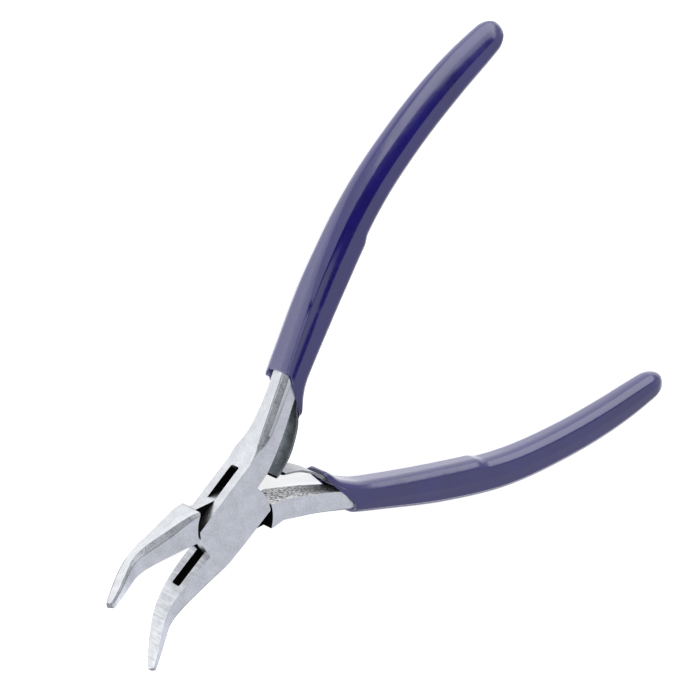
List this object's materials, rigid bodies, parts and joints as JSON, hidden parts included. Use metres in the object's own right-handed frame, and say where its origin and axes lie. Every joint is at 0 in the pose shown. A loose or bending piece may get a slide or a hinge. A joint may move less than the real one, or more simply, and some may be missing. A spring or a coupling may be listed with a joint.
{
  "type": "bent nose pliers",
  "caption": "Small spring loaded pliers with bent smooth jaws, a box joint, paired leaf springs and dipped vinyl grips.",
  "frame": {"origin": "centre of the pivot pin's flush end on the back cheek, which lies on Z = 0", "axes": "+X along the middle line towards the jaw tips, +Z along the pivot axis towards the side the jaws bend to, box half's handle on -Y and tongue half's handle on +Y"},
  "size_m": [0.1122, 0.0816, 0.0125],
  "materials": {
    "ground_steel": "satin, surface ground",
    "pin_steel": "ground flush",
    "spring_steel": "blued and lightly polished",
    "vinyl": "glossy dipped vinyl, violet blue"
  },
  "bodies": {
    "box_side": {"box_half": "ground_steel", "pivot_pin": "pin_steel", "box_spring_root": "spring_steel", "box_spring_rivet": "pin_steel", "box_grip_sleeve": "vinyl"},
    "tongue_side": {"tongue_half": "ground_steel", "tongue_spring_root": "spring_steel", "tongue_spring_rivet": "pin_steel", "tongue_grip_sleeve": "vinyl"},
    "box_leaf": {"box_spring_blade": "spring_steel"},
    "tongue_leaf": {"tongue_spring_blade": "spring_steel"}
  },
  "joints": [
    {"name": "pivot", "type": "hinge", "parent": "box_side", "child": "tongue_side", "pos_m": [0, 0, 0.0033], "axis": [0, 0, 1], "range_deg": [0, 28], "stiffness_Nm_per_rad": 0.6},
    {"name": "box_leaf_flex", "type": "hinge", "parent": "box_side", "child": "box_leaf", "pos_m": [-0.02061, -0.00993, 0.0033], "axis": [0, 0, 1], "range_deg": [-10, 0]},
    {"name": "tongue_leaf_flex", "type": "hinge", "parent": "tongue_side", "child": "tongue_leaf", "pos_m": [-0.01895, 0.00833, 0.0033], "axis": [0, 0, 1], "range_deg": [0, 19.2]}
  ],
  "couplings": [
    {"joint": "box_leaf_flex", "follows": "pivot", "ratio": -0.357},
    {"joint": "tongue_leaf_flex", "follows": "pivot", "ratio": 0.685}
  ]
}
